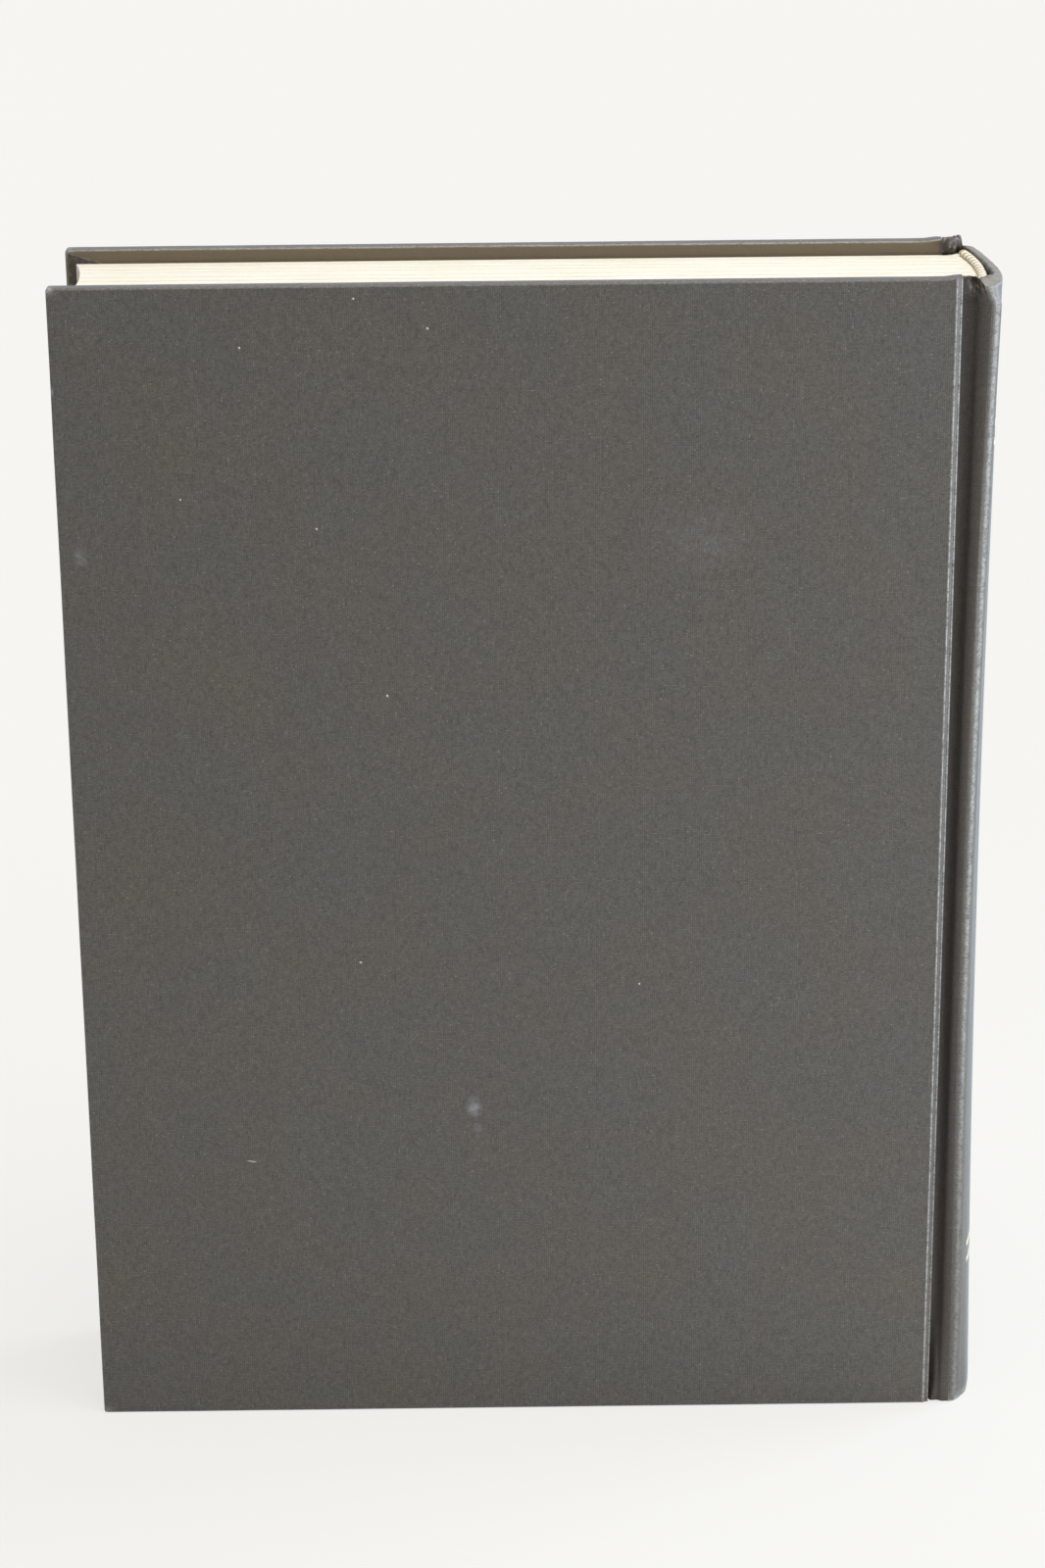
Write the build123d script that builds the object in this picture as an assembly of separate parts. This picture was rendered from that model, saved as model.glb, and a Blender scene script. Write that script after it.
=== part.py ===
from build123d import *

import os
from math import asin, atan, cos, degrees, pi, sin, sqrt, tan

# A thick case-bound book that stands on its tail: two boards in bookcloth, a rounded spine with a hollow back,
# a pressed groove beside each board where the cover hinges, and a sewn block of pages with a band at each end.
# Millimetres. +Z runs from the tail to the head, +X to the spine, and the rear cover faces -Y.
# The origin is under the middle of the book, on the surface that it stands on.

# Block of pages
page_height = 279.4
page_depth = 207.6
block_thickness = 37.4
page_round = 2.4

# Sheets
cloth = 0.4
paper = 0.15
lining = 0.5
glue = 0.2
cover_gap = 0.2

# Covers
board_thickness = 3.0
head_square = 3.3
fore_square = 2.6
turn_in = 16.0
paste_margin = 4.0
corner_radius = 1.2
edge_radius = 0.7
bevel_width = 1.0
bevel_drop = 0.45
mitre_width = 0.3

# Grooves
floor_width = 0.5
groove_run = 4.5
ridge_drop = 0.55
joint_gap = 0.35

# Spine
ledge_width = 2.1
spine_round = 3.7
inlay_thickness = 1.2
ridge_radius = 1.2
spine_head_drop = 1.8
spine_tail_rise = 0.4
cap_radius = 0.6

# Bands
bead_diameter = 2.2
band_height = 12.0
band_inset = 0.6

# Places across the thickness, measured from the rear cover's face
cover_thickness = board_thickness + 2 * cloth
pages_y = cover_thickness + paper + cover_gap + paper
overall_thickness = 2 * pages_y + block_thickness
middle_y = overall_thickness / 2
joint_depth = 2 * cloth + joint_gap
floor_y = pages_y - joint_depth

# The groove is an S of two equal arcs, hollow at the board and round at the ridge
groove_rise = floor_y - ridge_drop
groove_radius = (groove_run**2 + groove_rise**2) / (4 * groove_rise)
groove_turn = 2 * atan(groove_rise / groove_run)

# Places across the width, measured from the fore-edge of the covers
shoulder_x = fore_square + page_depth
shoulder_y = floor_y - groove_radius + (groove_radius + joint_depth) * cos(groove_turn)
floor_x = shoulder_x - (groove_radius + joint_depth) * sin(groove_turn)
cover_width = floor_x - floor_width
ridge_x = floor_x + groove_run
crown_x = ridge_x + ledge_width + spine_round
overall_width = crown_x

# Heights
cover_height = page_height + 2 * head_square
pages_top = head_square + page_height
spine_top = cover_height - spine_head_drop


def round_radius(half_chord, rise):
    """The radius of an arc from its half chord and its rise."""
    return (half_chord**2 + rise**2) / (2 * rise)


spine_radius = round_radius(middle_y - ridge_drop, spine_round)
back_radius = round_radius(middle_y - shoulder_y, page_round)
back_x = shoulder_x + page_round - back_radius


def at(x, y):
    """A point of the plan, from its distance to the fore-edge and to the rear cover's face."""
    return (x - overall_width / 2, y - middle_y)


def slab(x, y, z):
    """A box between a low and a high value along each direction."""
    corner_x, corner_y = at(x[0], y[0])
    size = (x[1] - x[0], y[1] - y[0], z[1] - z[0])
    return Pos(corner_x, corner_y, z[0]) * Box(*size, align=(Align.MIN, Align.MIN, Align.MIN))


def prism(section, low, high):
    """A section of the plan, stood up between two heights."""
    return Pos(0, 0, low) * extrude(section, high - low, dir=(0, 0, 1))


def disc(x, radius):
    """A round section whose centre lies midway between the covers."""
    return Pos(*at(x, middle_y)) * Circle(radius)


def to_front(solid):
    """The same piece on the front cover's side."""
    return mirror(solid, about=Plane.XZ)


# Covers
def cover_form(inset):
    """The cover's outer form, moved inwards by a thickness, with a pressed bevel beside the groove."""
    bevel_turn = atan(bevel_drop / bevel_width)
    along_face = bevel_width - inset + inset * tan(bevel_turn / 2)
    down_side = bevel_drop - inset + inset * tan((pi / 2 - bevel_turn) / 2)
    form = slab(
        (inset, cover_width - inset),
        (inset, cover_thickness - inset),
        (inset, cover_height - inset),
    )
    fore_corners = form.edges().filter_by(Axis.Y).group_by(Axis.X)[0]
    form = fillet(fore_corners, corner_radius - inset)
    spine_edge = form.edges().filter_by(Axis.Z).group_by(Axis.X)[-1].sort_by(Axis.Y)[0]
    outer_face = form.faces().sort_by(Axis.Y)[0]
    return chamfer(spine_edge, along_face, down_side, reference=outer_face)


def make_board():
    """A board, cut with square edges."""
    return cover_form(cloth)


def make_cover_cloth(board):
    """Cloth over the face and edges of a board, turned in on three sides and mitred at the corners."""
    outside = cover_form(0)
    rims = [outside.faces().sort_by(Axis.Y)[0], outside.faces().sort_by(Axis.Y)[-1]]
    soft = [edge for rim in rims for edge in rim.edges().sort_by(Axis.X)[:-1]]
    inner_y = cover_thickness - cloth
    window = slab(
        (turn_in, cover_width + cloth),
        (inner_y, cover_thickness + cloth),
        (turn_in, cover_height - turn_in),
    )
    wrap = fillet(soft, edge_radius) - board - window
    seam = Box((turn_in + 2 * mitre_width) * sqrt(2), cloth, mitre_width)
    seam_x, seam_y = at(turn_in / 2, cover_thickness)
    for height, tilt in ((turn_in / 2, -45), (cover_height - turn_in / 2, 45)):
        wrap -= Pos(seam_x, seam_y, height) * Rot(0, tilt, 0) * seam
    return wrap


def make_pastedown():
    """The glued half of an endpaper, pressed down over the edges of the turn-ins."""
    inner_y = cover_thickness - cloth
    end_x = cover_width - cloth
    heights = (paste_margin, cover_height - paste_margin)
    sheet = slab((paste_margin, end_x), (inner_y, cover_thickness + paper), heights)
    turn_ins = slab((paste_margin, end_x), (inner_y, cover_thickness), heights) - slab(
        (turn_in, end_x), (inner_y, cover_thickness), (turn_in, cover_height - turn_in)
    )
    dip = slab(
        (turn_in + paper, end_x),
        (inner_y + paper, cover_thickness + paper),
        (turn_in + paper, cover_height - turn_in - paper),
    )
    return sheet - turn_ins - dip


# Grooves
def groove_line(depth):
    """The groove's hollow arc and round arc, moved towards the pages by a depth."""
    hollow = groove_radius + depth
    crest = groove_radius - depth

    def on_hollow(turn):
        return at(floor_x + hollow * sin(turn), floor_y - groove_radius + hollow * cos(turn))

    def on_crest(turn):
        return at(ridge_x - crest * sin(turn), ridge_drop + groove_radius - crest * cos(turn))

    half = groove_turn / 2
    return [
        ThreePointArc(on_hollow(0), on_hollow(half), on_hollow(groove_turn)),
        ThreePointArc(on_crest(groove_turn), on_crest(half), on_crest(0)),
    ]


def groove_section(outer, inner):
    """A layer of cloth in the groove, from the board's edge to the ridge."""
    ends = [
        Line(at(cover_width, floor_y + outer), at(floor_x, floor_y + outer)),
        Line(at(cover_width, floor_y + inner), at(floor_x, floor_y + inner)),
        Line(at(cover_width, floor_y + outer), at(cover_width, floor_y + inner)),
        Line(at(ridge_x, ridge_drop + outer), at(ridge_x, ridge_drop + inner)),
    ]
    return make_face(groove_line(outer) + groove_line(inner) + ends)


def make_joint_cloth():
    """The strip that bends when a cover opens, doubled by its turn-ins at head and tail."""
    fold = groove_section(cloth, 2 * cloth)
    strip = prism(groove_section(0, cloth), spine_tail_rise, spine_top)
    strip += prism(fold, spine_tail_rise, spine_tail_rise + turn_in)
    return strip + prism(fold, spine_top - turn_in, spine_top)


# Spine
def spine_section(inset):
    """The filled section behind the spine's outer line, moved inwards by a thickness."""
    reach = middle_y - ridge_drop - inset
    radius = spine_radius - inset
    end_x = crown_x - spine_radius + sqrt(radius**2 - reach**2)
    near = at(ridge_x, middle_y - reach)
    far = at(ridge_x, middle_y + reach)
    near_ridge = at(end_x, middle_y - reach)
    far_ridge = at(end_x, middle_y + reach)
    section = make_face(
        [
            Line(far, near),
            Line(near, near_ridge),
            ThreePointArc(near_ridge, at(crown_x - inset, middle_y), far_ridge),
            Line(far_ridge, far),
        ]
    )
    ridges = section.vertices().group_by(Axis.X)[-1]
    return fillet(ridges, ridge_radius - inset)


def make_spine_inlay():
    """The card strip that keeps the spine round."""
    inside = disc(crown_x - spine_radius, spine_radius - cloth - inlay_thickness)
    return prism(spine_section(cloth) - inside, spine_tail_rise + cloth, spine_top - cloth)


def make_spine_cloth():
    """Cloth over the inlay, with its ends turned over the card and down inside the hollow."""
    centre_x = crown_x - spine_radius
    card_inside = disc(centre_x, spine_radius - cloth - inlay_thickness)
    fold_inside = disc(centre_x, spine_radius - 2 * cloth - inlay_thickness)
    shell = prism(spine_section(0) - spine_section(cloth), spine_tail_rise, spine_top)
    cap = spine_section(cloth) - fold_inside
    fold = (spine_section(cloth) & card_inside) - fold_inside
    for low, high in (
        (spine_tail_rise, spine_tail_rise + cloth),
        (spine_top - cloth, spine_top),
    ):
        shell += prism(cap, low, high)
    for low, high in (
        (spine_tail_rise, spine_tail_rise + turn_in),
        (spine_top - turn_in, spine_top),
    ):
        shell += prism(fold, low, high)
    arcs = shell.edges().filter_by(GeomType.CIRCLE)
    rims = [arc for arc in arcs if arc.radius > spine_radius - cloth / 2]
    return fillet(rims, cap_radius)


# Pages
def make_text_block():
    """The pages: a rounded back with shoulders, and a fore-edge as hollow as the back is round."""
    shoulder = groove_line(joint_depth)[0]
    far_shoulder = mirror(shoulder, about=Plane.XZ)
    far_y = overall_thickness - pages_y
    outline = [
        Line(at(fore_square, pages_y), at(floor_x, pages_y)),
        shoulder,
        ThreePointArc(shoulder @ 1, at(shoulder_x + page_round, middle_y), far_shoulder @ 1),
        far_shoulder,
        Line(at(floor_x, far_y), at(fore_square, far_y)),
        ThreePointArc(at(fore_square, far_y), at(fore_square + page_round, middle_y), at(fore_square, pages_y)),
    ]
    return prism(make_face(outline), head_square, pages_top)


def make_flyleaf():
    """The free half of an endpaper, on the first or last page."""
    return slab((fore_square, floor_x), (pages_y - paper, pages_y), (head_square, pages_top))


def back_strip(width):
    """The section of a strip glued round the back of the pages."""
    inner = back_radius + glue
    ring = disc(back_x, inner + lining) - disc(back_x, inner)
    half_x = inner + lining
    window = Pos(*at(back_x + half_x / 2, middle_y)) * Rectangle(half_x, width)
    return ring & window


def make_spine_lining():
    """Gauze and kraft paper, between the tapes of the two bands."""
    width = 2 * (middle_y - shoulder_y - band_inset)
    return prism(back_strip(width), head_square + band_height, pages_top - band_height)


def make_headband():
    """A bead that lies on the end of the back, on a tape glued down behind it."""
    half_width = middle_y - shoulder_y - band_inset
    bead_radius = bead_diameter / 2
    line_radius = back_radius + glue + lining / 2
    sweep_angle = 2 * degrees(asin(half_width / line_radius))
    centre_x, centre_y = at(back_x, middle_y)
    ring = Plane.XZ * Pos(line_radius, bead_radius) * Circle(bead_radius)
    bead = Rot(0, 0, -sweep_angle / 2) * revolve(ring, Axis.Z, sweep_angle)
    tape = prism(back_strip(2 * half_width), pages_top - band_height, pages_top + bead_radius)
    return Pos(centre_x, centre_y, pages_top) * bead + tape


def to_tail(band):
    """The same band at the other end of the pages."""
    return mirror(band, about=Plane.XY.offset(cover_height / 2))


rear_board = make_board()
rear_cover_cloth = make_cover_cloth(rear_board)
rear_pastedown = make_pastedown()
rear_joint_cloth = make_joint_cloth()
rear_flyleaf = make_flyleaf()
headband = make_headband()

pieces = {
    "text_block": make_text_block(),
    "rear_flyleaf": rear_flyleaf,
    "front_flyleaf": to_front(rear_flyleaf),
    "spine_lining": make_spine_lining(),
    "headband": headband,
    "tailband": to_tail(headband),
    "spine_inlay": make_spine_inlay(),
    "spine_cloth": make_spine_cloth(),
    "rear_joint_cloth": rear_joint_cloth,
    "front_joint_cloth": to_front(rear_joint_cloth),
    "rear_board": rear_board,
    "rear_cover_cloth": rear_cover_cloth,
    "rear_pastedown": rear_pastedown,
    "front_board": to_front(rear_board),
    "front_cover_cloth": to_front(rear_cover_cloth),
    "front_pastedown": to_front(rear_pastedown),
}

os.makedirs("parts", exist_ok=True)
for name, solid in pieces.items():
    export_step(solid, f"parts/{name}.step")
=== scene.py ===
from math import atan, cos, exp, hypot, pi, radians, sin, sqrt

import bmesh
import bpy
from mathutils import Matrix, Vector, noise


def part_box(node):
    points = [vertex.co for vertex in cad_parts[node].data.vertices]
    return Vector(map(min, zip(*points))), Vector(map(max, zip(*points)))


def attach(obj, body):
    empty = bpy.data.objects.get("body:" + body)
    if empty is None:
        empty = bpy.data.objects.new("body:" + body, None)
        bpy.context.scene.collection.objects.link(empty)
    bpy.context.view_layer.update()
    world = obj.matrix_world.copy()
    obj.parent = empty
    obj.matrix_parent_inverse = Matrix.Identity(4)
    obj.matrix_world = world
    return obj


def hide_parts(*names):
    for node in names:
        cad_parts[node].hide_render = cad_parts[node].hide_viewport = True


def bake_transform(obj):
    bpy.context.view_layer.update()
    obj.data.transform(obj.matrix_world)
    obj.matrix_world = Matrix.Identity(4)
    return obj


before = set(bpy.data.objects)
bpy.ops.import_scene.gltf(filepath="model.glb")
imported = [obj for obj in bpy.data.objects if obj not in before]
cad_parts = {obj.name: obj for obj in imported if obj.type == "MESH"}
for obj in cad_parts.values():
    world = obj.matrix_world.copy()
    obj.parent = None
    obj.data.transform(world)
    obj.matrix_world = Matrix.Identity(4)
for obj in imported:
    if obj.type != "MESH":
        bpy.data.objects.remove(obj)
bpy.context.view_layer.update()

# A case-bound book in charcoal bookcloth that stands on its tail, dressed around its solids.
# Places and sizes are in millimetres and turn to metres where a mesh is made.
# +Z runs from the tail to the head, +X to the spine, and the rear cover faces -Y.
MM = 0.001


def box_mm(node):
    """The lowest and highest corner of a solid, in millimetres."""
    low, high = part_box(node)
    return low / MM, high / MM


# Sizes read from the solids. Pieces of the rear side are drawn, and the front side is their mirror image.
cover_low, cover_high = box_mm("rear_cover_cloth")
spine_low, spine_high = box_mm("spine_cloth")
pages_low, pages_high = box_mm("text_block")

fore_x = cover_low.x
board_x = cover_high.x
face_y = cover_low.y
cover_depth = cover_high.y - cover_low.y
cover_width = board_x - fore_x
cover_top = cover_high.z
ridge_x = spine_low.x
ridge_y = spine_low.y
crown_x = spine_high.x
spine_tail = spine_low.z
spine_top = spine_high.z
pages_y = box_mm("rear_flyleaf")[1].y

# Sizes that the solids have too
CLOTH = 0.4
CARD = 1.2
PAPER = 0.15
TURN_IN = 16.0
BEVEL_DROP = 0.45
FLOOR_WIDTH = 0.5
LEDGE_WIDTH = 2.1
PAGE_ROUND = 2.4
JOINT_DEPTH = 1.15
BAND_HEIGHT = 12.0
BAND_INSET = 0.6

# The covers' corners and edges and their pressed bevel, which are crisper than on the solids
EDGE_RADIUS = 0.6
CORNER_RADIUS = 0.75
BEVEL_WIDTH = 1.35

# The groove is an S of two equal arcs, from the board's edge to the ridge
floor_x = board_x + FLOOR_WIDTH
floor_y = box_mm("rear_joint_cloth")[1].y - 2 * CLOTH
groove_run = ridge_x - floor_x
groove_rise = floor_y - ridge_y
groove_radius = (groove_run**2 + groove_rise**2) / (4 * groove_rise)
groove_turn = 2 * atan(groove_rise / groove_run)

# The spine's round, and the round back of the pages
spine_round = crown_x - ridge_x - LEDGE_WIDTH
spine_radius = (ridge_y**2 + spine_round**2) / (2 * spine_round)
spine_centre_x = crown_x - spine_radius
shoulder_x = pages_high.x - PAGE_ROUND
back_half = pages_high.y
back_radius = (back_half**2 + PAGE_ROUND**2) / (2 * PAGE_ROUND)
back_centre_x = pages_high.x - back_radius


# Small helpers
def linear(hex_colour):
    """An sRGB hex colour as linear red, green, blue and alpha."""
    channels = [int(hex_colour[i : i + 2], 16) / 255 for i in (1, 3, 5)]
    return [c / 12.92 if c <= 0.04045 else ((c + 0.055) / 1.055) ** 2.4 for c in channels] + [1.0]


def feed(tree, node, inputs):
    """Links a node's inputs to other nodes, or sets their values."""
    for name, value in inputs.items():
        if isinstance(value, bpy.types.NodeSocket):
            tree.links.new(value, node.inputs[name])
        else:
            node.inputs[name].default_value = value


def add(tree, kind, inputs=None, out=0, **settings):
    """Adds a node with its settings, values and links, and gives back one of its outputs or the node."""
    node = tree.nodes.new(kind)
    for name, value in settings.items():
        setattr(node, name, value)
    feed(tree, node, inputs or {})
    return node if out is None else node.outputs[out]


def maths(tree, operation, *values):
    """A sum worked out by a node."""
    return add(tree, "ShaderNodeMath", dict(enumerate(values)), operation=operation)


def mix(tree, share, first, second, blend="MIX"):
    """Two colours mixed by a node."""
    inputs = {0: share, 6: first, 7: second}
    return add(tree, "ShaderNodeMix", inputs, out=2, data_type="RGBA", blend_type=blend)


def ramp(tree, value, low, high, start=0.0, end=1.0, kind="LINEAR"):
    """A value carried from one range to another and held at both ends."""
    inputs = {"Value": value, "From Min": low, "From Max": high, "To Min": start, "To Max": end}
    return add(tree, "ShaderNodeMapRange", inputs, interpolation_type=kind)


def grain(tree, place, size, detail):
    """Smooth noise with lumps of about one size."""
    return add(tree, "ShaderNodeTexNoise", {"Vector": place, "Scale": 1 / size, "Detail": detail})


def vector(tree, x=0.0, y=0.0, z=0.0):
    """Three numbers joined by a node."""
    return add(tree, "ShaderNodeCombineXYZ", {0: x, 1: y, 2: z})


def axes(tree, place):
    """The three numbers of a place."""
    return add(tree, "ShaderNodeSeparateXYZ", {0: place}, out=None).outputs


def attribute(tree, name):
    """A mark that the points of a piece carry."""
    return add(tree, "ShaderNodeAttribute", out="Fac", attribute_name=name)


def soft_step(value):
    """A soft step from 0 to 1."""
    t = min(max(value, 0.0), 1.0)
    return t * t * (3 - 2 * t)


def bell(value, width):
    """A soft bump of height 1 about zero."""
    return exp(-((value / width) ** 2))


def ripple(x, y, seed):
    """Smooth noise from about -1 to 1, the same in every run."""
    return noise.noise(Vector((x, y, seed * 7.77)))


def lines(low, high, step):
    """Evenly spaced values from low to high, about a step apart."""
    count = max(1, round((high - low) / step))
    return [low + (high - low) * i / count for i in range(count + 1)]


def new_object(name, data):
    """A piece, lamp or camera, put into the scene."""
    thing = bpy.data.objects.new(name, data)
    bpy.context.scene.collection.objects.link(thing)
    return thing


def plain_mesh(piece):
    """Turns a piece with modifiers into a plain mesh."""
    graph = bpy.context.evaluated_depsgraph_get()
    made = piece.evaluated_get(graph)
    mesh = bpy.data.meshes.new_from_object(made, preserve_all_data_layers=True, depsgraph=graph)
    piece.modifiers.clear()
    piece.data = mesh
    return piece


def thicken(piece, thick):
    """Gives a sheet its thickness, towards its back, as a plain mesh."""
    solid = piece.modifiers.new("thickness", "SOLIDIFY")
    solid.thickness = thick * MM
    solid.offset = -1
    plain_mesh(piece)


def shade(mesh, sharp=50.0):
    """Smooth faces, with edges that turn by more than an angle in degrees kept sharp."""
    mesh.polygons.foreach_set("use_smooth", [True] * len(mesh.polygons))
    mesh.set_sharp_from_angle(angle=radians(sharp))


def make_piece(name, points, faces, materials, uvs=None, kinds=None, marks=None, closed=True):
    """A piece from points in millimetres, with a weave map, kinds of material and marks on its points."""
    mesh = bpy.data.meshes.new(name)
    mesh.from_pydata([Vector(p) * MM for p in points], [], faces)
    if uvs:
        layer = mesh.uv_layers.new(name="weave")
        layer.data.foreach_set("uv", [c for face in uvs for corner in face for c in corner])
    for mark, values in (marks or {}).items():
        mesh.attributes.new(mark, "FLOAT", "POINT").data.foreach_set("value", values)
    for material in materials:
        mesh.materials.append(material)
    if kinds:
        mesh.polygons.foreach_set("material_index", kinds)
    if closed:
        work = bmesh.new()
        work.from_mesh(mesh)
        bmesh.ops.recalc_face_normals(work, faces=work.faces)
        # The long bent ends of a shell are cut into short triangles, which keep to its curve
        ends = [face for face in work.faces if len(face.verts) > 4]
        bmesh.ops.triangulate(work, faces=ends, ngon_method="BEAUTY")
        work.to_mesh(mesh)
        work.free()
    shade(mesh)
    return new_object(name, mesh)


def on_side(side, points):
    """Points of the rear side, or their mirror image on the front side."""
    turn = 1 if side == "rear" else -1
    return [(x, turn * y, z) for x, y, z in points]


# Materials
def new_material(name):
    material = bpy.data.materials.new(name)
    material.use_nodes = True
    tree = material.node_tree
    return material, tree, tree.nodes["Principled BSDF"]


# Rubbed places on the rear cover: x, z, half width and half height in millimetres, and strength
RUBS = (
    (-14.8, 82.9, 2.6, 3.4, 0.42),
    (-14.2, 76.8, 1.6, 3.2, 0.16),
    (-103.7, 223.3, 2.2, 3.4, 0.22),
    (40.3, 225.9, 15.0, 11.0, 0.06),
    (-108.5, 285.9, 1.8, 1.5, 0.7),
    (-108.6, 262.0, 0.9, 1.8, 0.7),
)


def make_bookcloth():
    """Plain-woven cotton bookcloth: dull charcoal threads of uneven tone, pale where rubbed, with painted
    shade between threads and painted glints and highlights.
    """
    # The real threads are 0.47 mm and 0.35 mm apart, drawn a little coarser so that they show
    warp_pitch, weft_pitch = 0.5, 0.41
    warp_streak, weft_streak = 2.2, 1.5
    # Steps between threads in the noise that gives each its tone, so that neighbours differ
    warp_step, weft_step = 7.31, 5.17
    # How far a thread sinks under the next, and how flat its round is
    over_under, roundness = 0.6, 0.6
    fibre_size = 0.09
    thread_height = 0.06 * MM
    mottle_size = 26.0 * MM
    patch_size = 2.2
    fray_size = 0.9
    material, tree, shader = new_material("charcoal_cotton_bookcloth")
    weave = add(tree, "ShaderNodeUVMap", uv_map="weave")
    u, v, _ = axes(tree, weave)
    place = add(tree, "ShaderNodeTexCoord", out="Object")
    warp = maths(tree, "DIVIDE", u, warp_pitch)
    weft = maths(tree, "DIVIDE", v, weft_pitch)
    warp_number = maths(tree, "FLOOR", warp)
    weft_number = maths(tree, "FLOOR", weft)
    # Each thread has its own tone, which drifts along its length
    warp_along = maths(tree, "DIVIDE", v, warp_streak)
    warp_apart = maths(tree, "MULTIPLY", warp_number, warp_step)
    warp_place = vector(tree, warp_apart, warp_along)
    warp_tone = grain(tree, warp_place, 1.0, 3.0)
    weft_along = maths(tree, "DIVIDE", u, weft_streak)
    weft_apart = maths(tree, "MULTIPLY", weft_number, weft_step)
    weft_place = vector(tree, weft_along, weft_apart, 3.0)
    weft_tone = grain(tree, weft_place, 1.0, 3.0)
    # Round threads rise and sink as they pass over and under each other, and the higher one shows
    waves = [maths(tree, "SINE", maths(tree, "MULTIPLY", count, pi)) for count in (warp, weft)]
    heights = []
    for across, along, rise in ((*waves, over_under), (*reversed(waves), -over_under)):
        lift = maths(tree, "MULTIPLY", maths(tree, "SIGN", across), along)
        swell = maths(tree, "POWER", maths(tree, "ABSOLUTE", across), roundness)
        heights.append(maths(tree, "MULTIPLY_ADD", lift, rise, swell))
    weft_up = maths(tree, "GREATER_THAN", heights[1], heights[0])
    thread = ramp(tree, maths(tree, "MAXIMUM", *heights), 0.4, 1.6)
    fibre = grain(tree, weave, fibre_size, 2.0)
    cell = vector(tree, warp_number, weft_number)
    chance = add(tree, "ShaderNodeTexWhiteNoise", {"Vector": cell}, noise_dimensions="2D")
    # The tone of a spot comes from the thread on top, its roundness, its fibres and chance; the roundness
    # paints the crowns lighter and the dips between threads darker, as painted shade
    dull_weft = maths(tree, "SUBTRACT", weft_tone, 0.06)
    tone = add(tree, "ShaderNodeMix", {0: weft_up, 2: warp_tone, 3: dull_weft}, data_type="FLOAT")
    tone = maths(tree, "MULTIPLY_ADD", thread, 0.32, tone)
    tone = maths(tree, "MULTIPLY_ADD", fibre, 0.25, tone)
    tone = maths(tree, "MULTIPLY_ADD", chance, 0.18, tone)
    tone = ramp(tree, tone, 0.5, 1.35)
    colour = mix(tree, tone, linear("#383430"), linear("#6D6963"))
    # Here and there a painted glint, a pale speck on a thread's crown
    painted_glint = maths(tree, "MULTIPLY", ramp(tree, chance, 0.99, 1.0, 0.0, 0.28), thread)
    colour = mix(tree, painted_glint, colour, linear("#A5A29B"))
    # Dye that took unevenly, a little browner here and bluer there
    mottle = ramp(tree, grain(tree, place, mottle_size, 3.0), 0.3, 0.7)
    dye = mix(tree, mottle, linear("#FBF6F0"), linear("#F3F7FA"))
    colour = mix(tree, 1.0, colour, dye, "MULTIPLY")
    # Turned-in cloth, browned by its glue and by the paper that lies against it, and made lighter and
    # warmer as painted bounce light from the pages
    turned = maths(tree, "MULTIPLY", attribute(tree, "turned"), 0.75)
    colour = mix(tree, turned, colour, linear("#786A54"))
    # Painted shade deep in the grooves, dark brown
    colour = mix(tree, attribute(tree, "painted_groove_shade"), colour, linear("#291B12"))
    # Edges rubbed pale, thread by thread; along the creases and the ridge the pale line is partly a painted
    # highlight
    patch = grain(tree, weave, patch_size, 4.0)
    rubbed = maths(tree, "MULTIPLY_ADD", chance, 0.35, patch)
    rubbed = maths(tree, "MULTIPLY", ramp(tree, rubbed, 0.3, 0.88), attribute(tree, "wear"))
    colour = mix(tree, rubbed, colour, linear("#C0C1BF"))
    # Torn and folded places, where tan size and the dark backs of the threads show; in the holes of tears
    # and inside tucked folds the dark is painted shade
    frayed = ramp(tree, grain(tree, weave, fray_size, 3.0), 0.52, 0.75)
    under = mix(tree, frayed, linear("#30261E"), linear("#94846C"))
    colour = mix(tree, attribute(tree, "torn"), colour, under)
    # Scuffs on the rear cover's face
    scuff = 0.0
    for x, z, half_width, half_height, strength in RUBS:
        centre = (x * MM, face_y * MM, z * MM)
        reach = (half_width * MM, half_width * MM, half_height * MM)
        apart = add(tree, "ShaderNodeVectorMath", {0: place, 1: centre}, operation="SUBTRACT")
        apart = add(tree, "ShaderNodeVectorMath", {0: apart, 1: reach}, operation="DIVIDE")
        apart = add(tree, "ShaderNodeVectorMath", {0: apart}, out="Value", operation="LENGTH")
        scuff = maths(tree, "ADD", scuff, ramp(tree, apart, 0.0, 1.0, strength, 0.0, "SMOOTHSTEP"))
    scuff = maths(tree, "MULTIPLY", scuff, ramp(tree, patch, 0.3, 0.6))
    colour = mix(tree, scuff, colour, linear("#B4BAC6"))
    bump = add(tree, "ShaderNodeBump", {"Strength": 0.5, "Distance": thread_height, "Height": thread})
    gloss = {"Roughness": 0.44, "Specular IOR Level": 0.5}
    sheen = {"Sheen Weight": 0.26, "Sheen Roughness": 0.35, "Sheen Tint": linear("#A4CCEE")}
    feed(tree, shader, {"Base Color": colour, "Normal": bump, **gloss, **sheen})
    return material


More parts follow.
